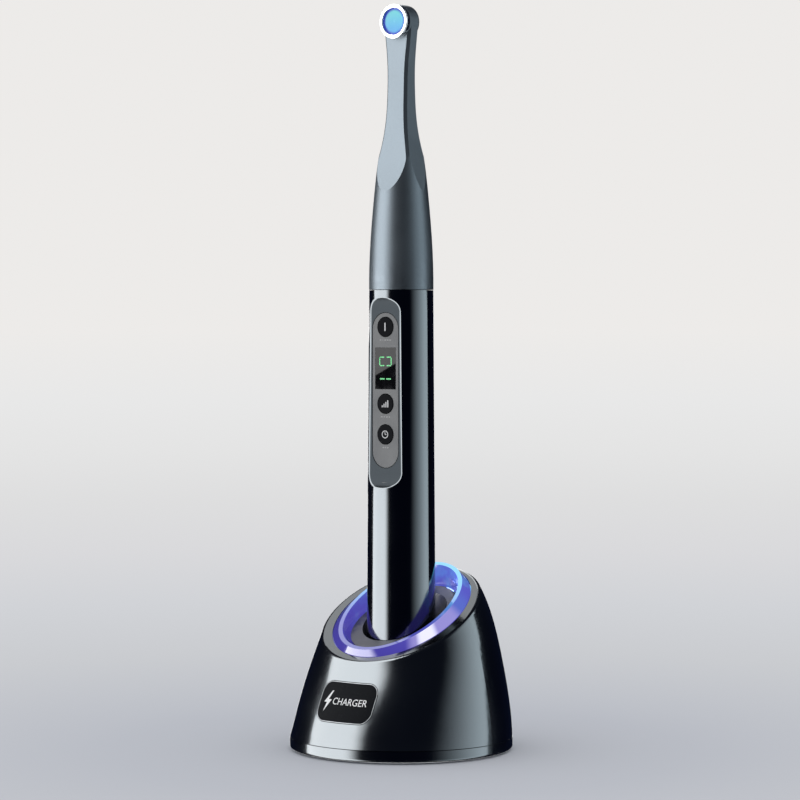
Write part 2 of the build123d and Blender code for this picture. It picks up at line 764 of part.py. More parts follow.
# battery and what it touches
with BuildPart() as battery_cell:
    with BuildSketch(Plane.XY.offset(cell_bottom)):
        Circle(cell_radius)
    extrude(amount=cell_length)
    fillet(battery_cell.edges(), 0.7)
    with BuildSketch(Plane.XY.offset(cell_top)):
        Circle(nub_radius)
    extrude(amount=nub_height)
with BuildPart() as battery_sleeve:
    with BuildSketch(Plane.XY.offset(spigot_top + 0.1)):
        Circle(battery_bore - 0.1)
        Circle(battery_bore - 0.1 - sleeve_wall, mode=Mode.SUBTRACT)
    extrude(amount=cell_top - spigot_top)
front_contact_bottom = cell_top + nub_height
with BuildPart() as front_contact:
    with BuildSketch(Plane.XY.offset(front_contact_bottom)):
        Circle(4.5)
    extrude(amount=contact_thickness)
with BuildPart() as contact_bulkhead:
    with BuildSketch(Plane.XY.offset(front_contact_bottom + contact_thickness)):
        Circle(battery_bore - 0.1)
    extrude(amount=battery_bore_top - front_contact_bottom - contact_thickness)

# tail cap with its contact pads, board, seal and battery spring
tail_floor_top = tail_height + tail_floor
with BuildPart() as tail_cap:
    with BuildSketch(Plane.XY.offset(tail_height)):
        Circle(tail_radius)
    extrude(amount=tail_joint - tail_height)
    fillet(tail_cap.edges().group_by(Axis.Z)[0], tail_round)
    with BuildSketch(Plane.XY.offset(tail_joint)):
        Circle(spigot_radius)
    extrude(amount=spigot_top - tail_joint)
    with BuildSketch(Plane.XY.offset(tail_floor_top)):
        Circle(spigot_radius - spigot_wall)
    extrude(amount=spigot_top, mode=Mode.SUBTRACT)
    with BuildSketch(Plane.XY.offset(tail_joint + 1)):
        Circle(spigot_radius + 0.5)
        Circle(spigot_radius - 2 * seal_radius + 0.05, mode=Mode.SUBTRACT)
    extrude(amount=2.4 * seal_radius, mode=Mode.SUBTRACT)
    with BuildSketch(Plane.XY.offset(tail_height)):
        Circle(centre_pad_radius)
    extrude(amount=tail_floor, mode=Mode.SUBTRACT)
    with BuildSketch(Plane.XY.offset(tail_height)):
        Circle(ring_pad[1])
        Circle(ring_pad[0], mode=Mode.SUBTRACT)
    extrude(amount=tail_floor / 2, mode=Mode.SUBTRACT)
with BuildPart() as tail_pad_centre:
    with BuildSketch(Plane.XY.offset(tail_height)):
        Circle(centre_pad_radius)
    extrude(amount=tail_floor)
with BuildPart() as tail_pad_ring:
    with BuildSketch(Plane.XY.offset(tail_height)):
        Circle(ring_pad[1])
        Circle(ring_pad[0], mode=Mode.SUBTRACT)
    extrude(amount=tail_floor / 2)
with BuildPart() as tail_board:
    with BuildSketch(Plane.XY.offset(tail_floor_top)):
        Circle(spigot_radius - spigot_wall - 0.1)
    extrude(amount=tail_board_thickness)
with BuildPart() as tail_seal:
    with Locations((0, 0, tail_joint + 1 + 1.2 * seal_radius)):
        Torus(spigot_radius - seal_radius + 0.08, seal_radius - 0.02)
battery_spring = coil((0, 0), tail_floor_top + tail_board_thickness, cell_bottom, spring_radius, 2 * spring_wire, 3)

# ================================================================ HEAD
# nose: turned cone milled down to a slim faceted neck, with the round head on its end
def neck_blank(plane, half_widths):
    """Prism along the plane's normal whose half width follows the stations up the neck."""
    low = swivel_top - 6
    with BuildPart() as blank:
        with BuildSketch(plane):
            with BuildLine():
                right = Spline(*half_widths)
                left = Spline(*[(-x, z) for x, z in half_widths])
                Line(right @ 1, left @ 1)
                Polyline(right @ 0, (right @ 0) + Vector(6, -12), (half_widths[0][0] + 6, low),
                         (-half_widths[0][0] - 6, low), (left @ 0) + Vector(-6, -12), left @ 0)
            make_face()
        extrude(amount=2 * tail_radius, both=True)
    return blank.part


width_points = [(w, z) for z, w, d in neck_stations] + [(head_radius - 0.1, head_height)]
depth_points = [(d, z) for z, w, d in neck_stations] + [(neck_stations[-1][2], head_height)]
corner_points = [
    ((w + d - neck_chamfer) / math.sqrt(2), z) for z, w, d in neck_stations
] + [((head_radius + neck_stations[-1][2] - neck_chamfer) / math.sqrt(2), head_height)]
diagonal = math.sqrt(0.5)
corner_plane_a = Plane(origin=(0, 0, 0), x_dir=(diagonal, diagonal, 0), z_dir=(diagonal, -diagonal, 0))
corner_plane_b = Plane(origin=(0, 0, 0), x_dir=(diagonal, -diagonal, 0), z_dir=(-diagonal, -diagonal, 0))
neck_blanks = [
    neck_blank(Plane.XZ, width_points),
    neck_blank(Plane.YZ, depth_points),
    neck_blank(corner_plane_a, corner_points),
    neck_blank(corner_plane_b, corner_points),
]
with BuildPart() as head_blank:
    with BuildSketch(front(head_front)):
        with Locations((0, head_height)):
            Circle(head_radius)
    extrude(amount=-head_front - head_back)
    fillet(head_blank.faces().sort_by(Axis.Y)[-1].edges(), head_back_round)
with BuildPart() as nose_shell:
    with BuildSketch(Plane.XZ):
        with BuildLine():
            side = Spline((barrel_top_radius, swivel_top), *[(r, z) for z, r in nose_stations])
            Polyline(side @ 1, (side @ 1) + Vector(-0.6, 8), (6.9, head_height), (0, head_height),
                     (0, swivel_top), side @ 0)
        make_face()
    revolve(axis=Axis.Z)
    for blank in neck_blanks:
        add(blank, mode=Mode.INTERSECT)
    add(head_blank.part)
    with BuildSketch(Plane.XY.offset(tenon_bottom)):
        Circle(tenon_radius)
    extrude(amount=swivel_top - tenon_bottom)
    with BuildSketch(Plane.XZ):
        with BuildLine():
            Polyline(
                (0, tenon_bottom),
                (tenon_radius - tenon_wall, tenon_bottom),
                (tenon_radius - tenon_wall, swivel_top + 2),
                (9.2, swivel_top + 3.5),
                (6.6, 190),
                (wire_channel, 207),
                (wire_channel, head_height - cavity_radius + 1),
                (0, head_height - cavity_radius + 1),
                close=True,
            )
        make_face()
    revolve(axis=Axis.Z, mode=Mode.SUBTRACT)
    with BuildSketch(front(-cavity_back)):
        with Locations((0, head_height)):
            Circle(cavity_radius)
    extrude(amount=cavity_back + head_front + 1, mode=Mode.SUBTRACT)
    with BuildSketch(Plane.XY.offset(clip_top - clip_thickness - 0.05)):
        Circle(tenon_radius + 0.5)
        Circle(tenon_radius - clip_groove, mode=Mode.SUBTRACT)
    extrude(amount=clip_thickness + 0.1, mode=Mode.SUBTRACT)
    with BuildSketch(Plane.XY.offset(barrel_top - 1.6)):
        Circle(tenon_radius + 0.5)
        Circle(tenon_radius - 2 * swivel_seal_radius + 0.05, mode=Mode.SUBTRACT)
    extrude(amount=2.2 * swivel_seal_radius, mode=Mode.SUBTRACT)

# retaining clip: open ring in the tenon's groove, under the bush
with BuildPart() as retaining_clip:
    with BuildSketch(Plane.XY.offset(clip_top - clip_thickness)):
        Circle(clip_radius)
        Circle(tenon_radius - clip_groove + 0.05, mode=Mode.SUBTRACT)
        with Locations((0, clip_radius)):
            Rectangle(3, 2 * clip_radius, mode=Mode.SUBTRACT)
    extrude(amount=clip_thickness)
with BuildPart() as swivel_seal:
    with Locations((0, 0, barrel_top - 1.6 + 1.1 * swivel_seal_radius)):
        Torus(tenon_radius - swivel_seal_radius + 0.03, swivel_seal_radius - 0.02)

# contact plug: insulated flange in the tenon and a slim pin into the socket
plug_flange_top = swivel_top + 1.6
with BuildPart() as contact_plug:
    with BuildSketch(Plane.XY.offset(tenon_bottom + 0.2)):
        Circle(tenon_radius - tenon_wall)
    extrude(amount=plug_flange_top - tenon_bottom - 0.2)
    with BuildSketch(Plane.XY.offset(plug_tip)):
        Circle(plug_pin_radius)
    extrude(amount=plug_length + 0.2)
    fillet(contact_plug.edges().group_by(Axis.Z)[0], 0.8)

# two wires up the neck
with BuildPart() as head_wires:
    with BuildSketch(Plane.XY.offset(plug_flange_top)):
        with Locations((-wire_spacing / 2, -wire_forward), (wire_spacing / 2, -wire_forward)):
            Circle(wire_radius)
    extrude(amount=head_height - cavity_radius + 0.12 - plug_flange_top)

# light engine
slug_front = -cavity_back + slug_thickness
led_board_front = slug_front + led_board_thickness
reflector_front = led_board_front + reflector_thickness
lens_front = bezel_front - 0.35


def disc(back, thickness, radius):
    """Round plate in the head, facing the lens."""
    with BuildPart() as plate:
        with BuildSketch(front(back)):
            with Locations((0, head_height)):
                Circle(radius)
        extrude(amount=thickness)
    return plate


heat_slug = disc(-cavity_back, slug_thickness, cavity_radius - 0.05)
led_board = disc(slug_front, led_board_thickness, cavity_radius - 0.15)
with BuildPart() as led_emitter:
    with BuildSketch(front(led_board_front)):
        with Locations((0, head_height)):
            Rectangle(emitter_size, emitter_size)
    extrude(amount=emitter_thickness)
    with Locations((0, -led_board_front - emitter_thickness, head_height)):
        Sphere(emitter_dome)
    with BuildSketch(front(led_board_front)):
        with Locations((0, head_height)):
            Circle(cavity_radius)
    extrude(amount=3, mode=Mode.INTERSECT)
with BuildPart() as reflector:
    with BuildSketch(front(led_board_front)):
        with Locations((0, head_height)):
            Circle(cavity_radius - 0.1)
    extrude(amount=reflector_thickness)
    with BuildSketch(front(led_board_front)):
        with Locations((0, head_height)):
            Circle(2.6)
    with BuildSketch(front(reflector_front)):
        with Locations((0, head_height)):
            Circle(4.2)
    loft(mode=Mode.SUBTRACT)
with BuildPart() as lens:
    with BuildSketch(Plane.YZ):
        with BuildLine():
            crown = ThreePointArc(
                (-lens_front + lens_bulge, head_height + lens_radius),
                (-lens_front, head_height),
                (-lens_front + lens_bulge, head_height - lens_radius),
            )
            Polyline(crown @ 1, (-reflector_front, head_height - lens_radius),
                     (-reflector_front, head_height + lens_radius), crown @ 0)
        make_face()
        with Locations((-lens_front, head_height - lens_radius)):
            Rectangle(2 * lens_front, 2 * lens_radius, mode=Mode.SUBTRACT)
    revolve(axis=Axis((0, 0, head_height), (0, 1, 0)))
with BuildPart() as lens_bezel:
    with BuildSketch(front(head_front)):
        with Locations((0, head_height)):
            Circle(bezel_radius)
            Circle(lens_radius + 0.05, mode=Mode.SUBTRACT)
    extrude(amount=bezel_front - head_front)
    fillet(lens_bezel.faces().sort_by(Axis.Y)[0].edges(), bezel_round)
    with BuildSketch(front(head_front + bezel_step)):
        with Locations((0, head_height)):
            Circle(bezel_radius + 1)
            Circle(bezel_radius - bezel_groove, mode=Mode.SUBTRACT)
    extrude(amount=bezel_groove, mode=Mode.SUBTRACT)

# ---------------------------------------------------------------- files
pieces = {
    "base_shell": base_shell,
    "base_plate": base_plate,
    "rubber_feet": rubber_feet,
    "base_screws": base_screws,
    "ballast_plate": ballast_plate,
    "charger_board": charger_board,
    "charger_chips": charger_chips,
    "power_inlet": power_inlet,
    "dock_tray": dock_tray,
    "light_ring": light_ring,
    "ring_board": ring_board,
    "ring_leds": ring_leds,
    "pin_barrels": pin_barrels,
    "centre_pin": centre_pin,
    "side_pin": side_pin,
    "centre_pin_spring": centre_pin_spring,
    "side_pin_spring": side_pin_spring,
    "badge_plate": badge_plate,
    "barrel_tube": barrel_tube,
    "key_plate": key_plate,
    "display_glass": display_glass,
    "display_module": display_module,
    "power_button": power_button,
    "mode_button": mode_button,
    "time_button": time_button,
    "tact_switches": tact_switches,
    "main_board": main_board,
    "board_chips": board_chips,
    "buzzer": buzzer,
    "carrier": carrier,
    "board_screws": board_screws,
    "jack_socket": jack_socket,
    "swivel_bush": swivel_bush,
    "battery_cell": battery_cell,
    "battery_sleeve": battery_sleeve,
    "front_contact": front_contact,
    "contact_bulkhead": contact_bulkhead,
    "tail_cap": tail_cap,
    "tail_pad_centre": tail_pad_centre,
    "tail_pad_ring": tail_pad_ring,
    "tail_board": tail_board,
    "tail_seal": tail_seal,
    "battery_spring": battery_spring,
    "nose_shell": nose_shell,
    "retaining_clip": retaining_clip,
    "swivel_seal": swivel_seal,
    "contact_plug": contact_plug,
    "head_wires": head_wires,
    "heat_slug": heat_slug,
    "led_board": led_board,
    "led_emitter": led_emitter,
    "reflector": reflector,
    "lens": lens,
    "lens_bezel": lens_bezel,
}
os.makedirs("parts", exist_ok=True)
for name, piece in pieces.items():
    piece.part.label = name
    export_step(piece.part, f"parts/{name}.step")
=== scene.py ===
"""Looks of a cordless dental curing light standing in its charging base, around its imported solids."""

import math

import bmesh
import bpy
from mathutils import Matrix, Vector
from mathutils.bvhtree import BVHTree


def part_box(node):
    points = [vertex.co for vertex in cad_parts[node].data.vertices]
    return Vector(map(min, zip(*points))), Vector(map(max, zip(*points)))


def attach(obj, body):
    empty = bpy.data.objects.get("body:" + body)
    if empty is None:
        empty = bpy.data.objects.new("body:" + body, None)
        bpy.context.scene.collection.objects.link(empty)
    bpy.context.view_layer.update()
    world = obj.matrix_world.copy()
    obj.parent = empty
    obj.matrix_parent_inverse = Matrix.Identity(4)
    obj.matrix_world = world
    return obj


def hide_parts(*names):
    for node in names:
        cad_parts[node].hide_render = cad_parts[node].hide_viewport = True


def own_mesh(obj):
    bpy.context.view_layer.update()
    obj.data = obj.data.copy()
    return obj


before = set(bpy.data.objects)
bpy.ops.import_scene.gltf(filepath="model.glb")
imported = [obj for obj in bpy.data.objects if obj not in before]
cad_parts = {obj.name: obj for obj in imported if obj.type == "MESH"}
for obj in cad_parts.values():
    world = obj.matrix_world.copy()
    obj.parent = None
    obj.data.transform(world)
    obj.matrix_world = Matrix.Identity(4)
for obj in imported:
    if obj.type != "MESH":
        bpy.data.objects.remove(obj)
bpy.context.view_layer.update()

# ------------------------------------------------------------------ camera
# Level camera about a metre off, standing to the right of the lamp so that the side of the head shows. Its
# lens is long and shifted down, so that uprights stay upright.
quarter_turn = math.radians(90)
camera_turn = math.radians(37)
camera_distance = 0.962
camera_height = 0.144
camera_data = bpy.data.cameras.new("camera")
camera = bpy.data.objects.new("camera", camera_data)
bpy.context.scene.collection.objects.link(camera)
bpy.context.scene.camera = camera
camera.location = (
    math.sin(camera_turn) * camera_distance,
    -math.cos(camera_turn) * camera_distance,
    camera_height,
)
camera.rotation_euler = (quarter_turn, 0, camera_turn)
camera_data.sensor_width = 36
camera_data.lens = 125.55
camera_data.shift_x = -0.0016
camera_data.shift_y = -0.087
bpy.context.scene.view_settings.view_transform = "Standard"


# ------------------------------------------------------------------ studio
# A wide pale paper floor that runs off into an even pale room, with even light from all round. The paper
# is painted darker and bluer towards the middle, as painted shade. Soft boxes that only the gloss sees stand
# at the left, at the right, high behind and straight behind.
class Wire:
    """A number running over a surface: sums with it add their own Math nodes."""

    def __init__(self, nodes, socket):
        self.nodes, self.socket = nodes, socket

    def maths(self, operation, *terms):
        return self.nodes.node("ShaderNodeMath", {"operation": operation}, dict(enumerate(terms)))

    def __add__(self, other):
        return self.maths("ADD", self, other)

    def __sub__(self, other):
        return self.maths("SUBTRACT", self, other)

    def __rsub__(self, other):
        return self.maths("SUBTRACT", other, self)

    def __mul__(self, other):
        return self.maths("MULTIPLY", self, other)

    __radd__ = __add__
    __rmul__ = __mul__


class Nodes:
    """A node tree under way: node() puts any node into it, and the rest are the patterns used all over."""

    def __init__(self, tree):
        self.tree = tree

    def node(self, kind, settings=None, values=None, out=0):
        """Adds a node and gives one of its outputs, by number or by name; stops are a colour ramp's."""
        new = self.tree.nodes.new(kind)
        for key, value in (settings or {}).items():
            if key == "stops":
                stops = new.color_ramp.elements
                while len(stops) < len(value):
                    stops.new(0.5)
                for stop, (place, colour) in zip(stops, value):
                    stop.position, stop.color = place, (*colour, 1)
            else:
                setattr(new, key, value)
        self.fill(new, values or {})
        return Wire(self, new.outputs[out])

    def fill(self, node, values):
        """Links or sets a node's inputs; a colour may be given without its alpha."""
        for key, value in values.items():
            if isinstance(value, Wire):
                self.tree.links.new(value.socket, node.inputs[key])
            elif isinstance(value, tuple) and len(value) == 3 and node.inputs[key].type == "RGBA":
                node.inputs[key].default_value = (*value, 1)
            else:
                node.inputs[key].default_value = value

    def place(self, centre=(0, 0, 0), stretch=(1, 1, 1)):
        """Object coordinates about a centre, stretched."""
        spot = self.node("ShaderNodeTexCoord", out="Object")
        values = {"Vector": spot, "Location": centre, "Scale": stretch}
        return self.node("ShaderNodeMapping", {"vector_type": "TEXTURE"}, values)

    def along(self, place, axis):
        """The X, Y or Z of a place."""
        return self.node("ShaderNodeSeparateXYZ", None, {"Vector": place}, axis)

    def length(self, vector):
        return self.node("ShaderNodeVectorMath", {"operation": "LENGTH"}, {0: vector}, "Value")

    def scaled(self, vector, shares):
        return self.node("ShaderNodeVectorMath", {"operation": "MULTIPLY"}, {0: vector, 1: shares})

    def facing(self, vector, way):
        """How far a vector points along a way, which is the cosine of the angle for unit lengths."""
        return self.node("ShaderNodeVectorMath", {"operation": "DOT_PRODUCT"}, {0: vector, 1: way}, "Value")

    def noise(self, size, detail=3.0, stretch=(1, 1, 1)):
        """Soft blotches about size metres across."""
        place = self.place(stretch=stretch)
        values = {"Vector": place, "Scale": 1 / size, "Detail": detail}
        return self.node("ShaderNodeTexNoise", None, values)

    def between(self, value, low, high, start=0.0, end=1.0):
        """Runs smoothly from start to end as value goes from low to high."""
        settings = {"interpolation_type": "SMOOTHSTEP"}
        values = {0: value, 1: low, 2: high, 3: start, 4: end}
        return self.node("ShaderNodeMapRange", settings, values)

    def ramp(self, value, *stops):
        """Colour for a value, from stops of a place and a colour."""
        return self.node("ShaderNodeValToRGB", {"stops": stops}, {0: value})

    def mix(self, mask, first, second):
        """First colour where the mask is 0, second where it is 1."""
        return self.node("ShaderNodeMix", {"data_type": "RGBA"}, {0: mask, 6: first, 7: second}, 2)

    def bump(self, height, depth):
        """Relief of that many metres from a height of 0 to 1."""
        return self.node("ShaderNodeBump", None, {"Strength": 1.0, "Distance": depth, "Height": height})


class Finish(Nodes):
    """A surface finish: Nodes with a material round them."""

    def __init__(self, name):
        self.material = bpy.data.materials.new(name)
        self.material.use_nodes = True
        super().__init__(self.material.node_tree)

    def surface(self, **values):
        """Sets the shader's inputs, named with underscores for spaces, and gives the material."""
        shader = self.tree.nodes["Principled BSDF"]
        self.fill(shader, {key.replace("_", " "): value for key, value in values.items()})
        return self.material


def mesh_piece(name, form, finish):
    """Turns a bmesh into an object with its finish, sitting at the origin."""
    mesh = bpy.data.meshes.new(name)
    form.to_mesh(mesh)
    form.free()
    piece = bpy.data.objects.new(name, mesh)
    bpy.context.scene.collection.objects.link(piece)
    mesh.materials.append(finish)
    return piece


room_tone = (0.845, 0.83, 0.815)
floor_radius = 90.0
floor_form = bmesh.new()
bmesh.ops.create_circle(floor_form, cap_ends=True, segments=96, radius=floor_radius)
paper = Finish("floor_paper")
from_middle = paper.length(paper.place())
far_share = from_middle.maths("DIVIDE", from_middle, from_middle + 1.0)
# Painted shade: the paper's colour runs from a darker blue-grey at the middle to the room's tone far off.
painted_floor_shade = paper.ramp(
    far_share,
    (0.09, (0.505, 0.525, 0.577)),
    (0.228, (0.591, 0.604, 0.631)),
    (0.346, (0.638, 0.651, 0.68)),
    (0.465, (0.695, 0.695, 0.713)),
    (0.585, (0.73, 0.73, 0.735)),
    (0.706, (0.776, 0.776, 0.776)),
    (0.828, (0.807, 0.807, 0.807)),
    (1.0, room_tone),
)
paper.surface(
    Base_Color=painted_floor_shade,
    Roughness=paper.between(paper.noise(0.02), 0.3, 0.7, 0.85, 0.95),
    Specular_IOR_Level=0.0,
    Normal=paper.bump(paper.noise(0.0006, 4.0), 0.00001),
)
floor = mesh_piece("floor", floor_form, paper.material)
floor.visible_glossy = False
floor.visible_shadow = False

room = bpy.data.worlds.new("room")
bpy.context.scene.world = room
room.use_nodes = True
room.cycles.sampling_method = "NONE"
air = Nodes(room.node_tree)
upwards = air.along(air.node("ShaderNodeTexCoord", out="Generated"), "Z")
dusk = air.ramp(upwards, (0.0, (0.004, 0.006, 0.018)), (1.0, (0.03, 0.036, 0.055)))
seen = air.node("ShaderNodeBackground", None, {"Color": room_tone, "Strength": 1.0})
lit = air.node("ShaderNodeBackground", None, {"Color": (1.0, 1.0, 1.0), "Strength": 1.0})
mirrored = air.node("ShaderNodeBackground", None, {"Color": dusk, "Strength": 1.0})
gloss_ray = air.node("ShaderNodeLightPath", out="Is Glossy Ray")
camera_ray = air.node("ShaderNodeLightPath", out="Is Camera Ray")
indirect = air.node("ShaderNodeMixShader", None, {0: gloss_ray, 1: lit, 2: mirrored})
everything = air.node("ShaderNodeMixShader", None, {0: camera_ray, 1: indirect, 2: seen})
air.fill(room.node_tree.nodes["World Output"], {"Surface": everything})

aim_height = 0.1


def soft_box(name, turn, rise, distance, size, strength, fade, colour=(1.0, 1.0, 1.0)):
    """Soft box that gloss alone sees, at a turn from the camera and a rise above the aim, both in degrees.

    fade is where its strength starts and stops changing across it, and the strengths there.
    """
    light = bpy.data.lights.new(name, "AREA")
    light.shape = "RECTANGLE"
    light.size, light.size_y = size
    light.energy = strength * size[0] * size[1]
    light.color = colour
    light.use_nodes = True
    nodes = Nodes(light.node_tree)
    across = nodes.along(nodes.node("ShaderNodeNewGeometry", out="Parametric"), "X")
    nodes.fill(light.node_tree.nodes["Emission"], {"Strength": nodes.between(across, *fade)})
    box = bpy.data.objects.new(name, light)
    bpy.context.scene.collection.objects.link(box)
    azimuth, rise = camera_turn + math.radians(turn), math.radians(rise)
    flat = math.cos(rise) * distance
    tall = aim_height + math.sin(rise) * distance
    box.location = (math.sin(azimuth) * flat, -math.cos(azimuth) * flat, tall)
    box.rotation_euler = (quarter_turn - rise, 0, azimuth)
    box.visible_camera = False
    box.visible_diffuse = False


tall_box = 3.4
cool_white = (0.84, 0.95, 1.0)
soft_box(
    "left_soft_box",
    turn=-77,
    rise=0,
    distance=0.9,
    size=(1.26, tall_box),
    strength=14.0,
    fade=(0.72, 1.0, 1.0, 0.0),
)
soft_box(
    "right_soft_box",
    turn=64,
    rise=0,
    distance=0.9,
    size=(1.24, tall_box),
    strength=6.6,
    fade=(0.0, 1.0, 0.0, 1.0),
    colour=cool_white,
)
soft_box(
    "top_soft_box",
    turn=-159,
    rise=47,
    distance=1.3,
    size=(0.8, 0.5),
    strength=3.5,
    fade=(0.0, 0.6, 0.2, 1.0),
)
soft_box(
    "rear_soft_box",
    turn=180,
    rise=0,
    distance=1.2,
    size=(0.4, tall_box),
    strength=6.0,
    fade=(0.0, 0.3, 0.3, 1.0),
)

# ------------------------------------------------------------------ bottom plate, feet and screws
# Moulded plate that closes the base and is lacquered with the shell. Four soft rubber feet are pressed into
# it, and three steel screws hold it up to the shell's posts.
def coat(material, *nodes):
    """Puts a finish on CAD nodes."""
    for name in nodes:
        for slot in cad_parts[name].material_slots:
            slot.material = material


def plastic(name, dark, light, rough, grain=0.0004, relief=0.000006, **more):
    """Moulded plastic: a slow drift of tone, a fine grain and paler rubbing on the grain's tops."""
    finish = Finish(name)
    drift = finish.noise(0.018)
    pits = finish.noise(grain, 2.0)
    rubbed = finish.between(finish.noise(0.006, 5.0), 0.58, 0.72)
    finish.surface(
        Base_Color=finish.ramp(drift + (pits - 0.5) * 0.3, (0.3, dark), (0.7, light)),
        Roughness=finish.between(drift, 0.3, 0.7, rough - 0.05, rough + 0.05) - rubbed * 0.08,
        Normal=finish.bump(pits, relief),
        **more,
    )
    return finish.material


foot_rubber = plastic(
    "foot_rubber",
    dark=(0.016, 0.016, 0.017),
    light=(0.03, 0.03, 0.031),
    rough=0.85,
    grain=0.0003,
    relief=0.00002,
)
coat(foot_rubber, "rubber_feet")


def metal(name, colour, rough, stretch=(1, 1, 1), relief=0.000002, stained=0.85):
    """Bare or plated metal with fine lines along one way and a slight stain."""
    finish = Finish(name)
    lines = finish.noise(0.0003, 3.0, stretch)
    stain = finish.noise(0.004, 4.0)
    darker = tuple(part * stained for part in colour)
    finish.surface(
        Base_Color=finish.mix(finish.between(stain, 0.35, 0.7), colour, darker),
        Metallic=1.0,
        Roughness=finish.between(lines, 0.3, 0.7, rough * 0.8, rough * 1.25),
        Normal=finish.bump(lines, relief),
    )
    return finish.material


steel = metal("steel_zinc", colour=(0.62, 0.63, 0.65), rough=0.28)
coat(steel, "base_screws", "board_screws", "retaining_clip", "ballast_plate")

# ------------------------------------------------------------------ charger electronics
# Green solder-masked boards with gold pads, black epoxy packages, and a moulded inlet at the back. They stand
# under the tray and show only when the base is open.
track_scale = 420.0
board = Finish("circuit_board_green")
tracks = board.node(
    "ShaderNodeTexBrick",
    {"offset": 0.5},
    {
        "Vector": board.place(),
        "Color1": (0.012, 0.10, 0.045),
        "Color2": (0.016, 0.13, 0.055),
        "Mortar": (0.03, 0.22, 0.10),
        "Scale": track_scale,
        "Mortar Size": 0.03,
    },
)
pads = board.node("ShaderNodeTexVoronoi", None, {"Vector": board.place(), "Scale": track_scale})
pad_mask = board.between(pads, 0.16, 0.13)
board.surface(
    Base_Color=board.mix(pad_mask, tracks, (0.75, 0.55, 0.22)),
    Metallic=pad_mask,
    Roughness=0.34 + pad_mask * -0.1,
    Normal=board.bump(pad_mask, 0.00003),
)
coat(board.material, "charger_board", "ring_board", "main_board", "tail_board", "led_board")
chips = plastic(
    "chip_epoxy",
    dark=(0.012, 0.012, 0.013),
    light=(0.03, 0.03, 0.032),
    rough=0.5,
    grain=0.0002,
    relief=0.000004,
)
coat(chips, "charger_chips", "board_chips", "tact_switches", "buzzer", "display_module", "jack_socket")
inlet_pbt = plastic("inlet_pbt", dark=(0.02, 0.02, 0.022), light=(0.035, 0.035, 0.037), rough=0.36)
coat(inlet_pbt, "power_inlet")

# ------------------------------------------------------------------ base shell
# Injection-moulded shell with a metallised blue-black gloss lacquer. It carries wiping marks, fine hairlines
# and a duller band at the foot, where cloths and bench tops rub it.
def lacquer(name, deep, bright, rough, rub_low, rub_high, pocket=None, pocket_tone=None):
    """Metallised gloss lacquer: wiped smudges and hairlines in the shine, rubbed dull between two heights.

    pocket works out a mask, from the finish, of the places that are left satin and of their own tone.
    """
    finish = Finish(name)
    satin = pocket(finish) if pocket else 0.0
    tall = finish.along(finish.place(), "Z")
    smudge = finish.between(finish.noise(0.022, 4.0), 0.35, 0.75)
    hairs = finish.between(finish.noise(0.0016, 2.0, (1, 1, 30)), 0.66, 0.74)
    patchy = finish.between(finish.noise(0.0012, 4.0), 0.35, 0.6)
    rub = finish.between(tall, rub_high, rub_low) * patchy
    peel = finish.noise(0.0011, 1.0)
    shine = finish.mix(smudge * 0.5 + rub * 0.5, deep, bright)
    finish.surface(
        Base_Color=finish.mix(satin, shine, pocket_tone) if pocket else shine,
        Metallic=1.0 - rub * 0.15,
        Roughness=rough + smudge * 0.035 + hairs * 0.05 + rub * 0.1 + satin * 0.16,
        Coat_Weight=0.6 - smudge * 0.15 - satin * 0.6,
        Coat_Roughness=0.05,
        Coat_IOR=1.5,
        Normal=finish.bump(peel + hairs * -0.4, 0.0000009),
    )
    return finish.material


shell_lacquer = lacquer(
    "shell_lacquer",
    deep=(0.118, 0.13, 0.138),
    bright=(0.14, 0.153, 0.162),
    rough=0.14,
    rub_low=0.0004,
    rub_high=0.0018,
)
coat(shell_lacquer, "base_shell", "base_plate")

# ------------------------------------------------------------------ badge
# Black acrylic plate set in the shell. A silver line follows its edge, and a charging bolt and a plain word
# are pad-printed on it in white ink.
badge_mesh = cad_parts["badge_plate"].data
badge_front = BVHTree.FromPolygons(
    [v.co for v in badge_mesh.vertices], [p.vertices for p in badge_mesh.polygons]
)
badge_low, badge_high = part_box("badge_plate")
badge_centre = (badge_low + badge_high) / 2
badge_acrylic = Finish("badge_acrylic")
badge_dust = badge_acrylic.between(badge_acrylic.noise(0.0004, 3.0), 0.68, 0.78)
badge_acrylic.surface(
    Base_Color=badge_acrylic.mix(badge_dust, (0.006, 0.007, 0.009), (0.03, 0.032, 0.036)),
    Roughness=0.22 + badge_dust * 0.3 + badge_acrylic.noise(0.009) * 0.1,
    Specular_IOR_Level=0.02,
    Normal=badge_acrylic.bump(badge_acrylic.noise(0.0009, 2.0), 0.0000008),
)
coat(badge_acrylic.material, "badge_plate")


def ink(name, colour, rough=0.5, **more):
    """Printed ink with a slightly uneven lay-down."""
    finish = Finish(name)
    lay = finish.noise(0.0002, 3.0)
    thin = tuple(part * 0.82 for part in colour)
    finish.surface(
        Base_Color=finish.ramp(lay, (0.3, thin), (0.6, colour)),
        Roughness=rough + (lay - 0.5) * 0.15,
        Specular_IOR_Level=0.2,
        Normal=finish.bump(lay, 0.000002),
        **more,
    )
    return finish.material


white_ink = ink("white_ink", (0.86, 0.87, 0.88))
ink_depth = 0.00003


def stand_up(form):
    """Turns flat print from X and Y up into X and Z."""
    upright = Matrix.Rotation(quarter_turn, 3, "X")
    bmesh.ops.rotate(form, cent=(0, 0, 0), matrix=upright, verts=form.verts)


def round_corners(sheet, radius, steps):
    """Rounds every corner of a flat sheet."""
    bmesh.ops.bevel(
        sheet,
        geom=sheet.verts[:],
        offset=radius,
        segments=steps,
        profile=0.5,
        affect="VERTICES",
        material=-1,
    )


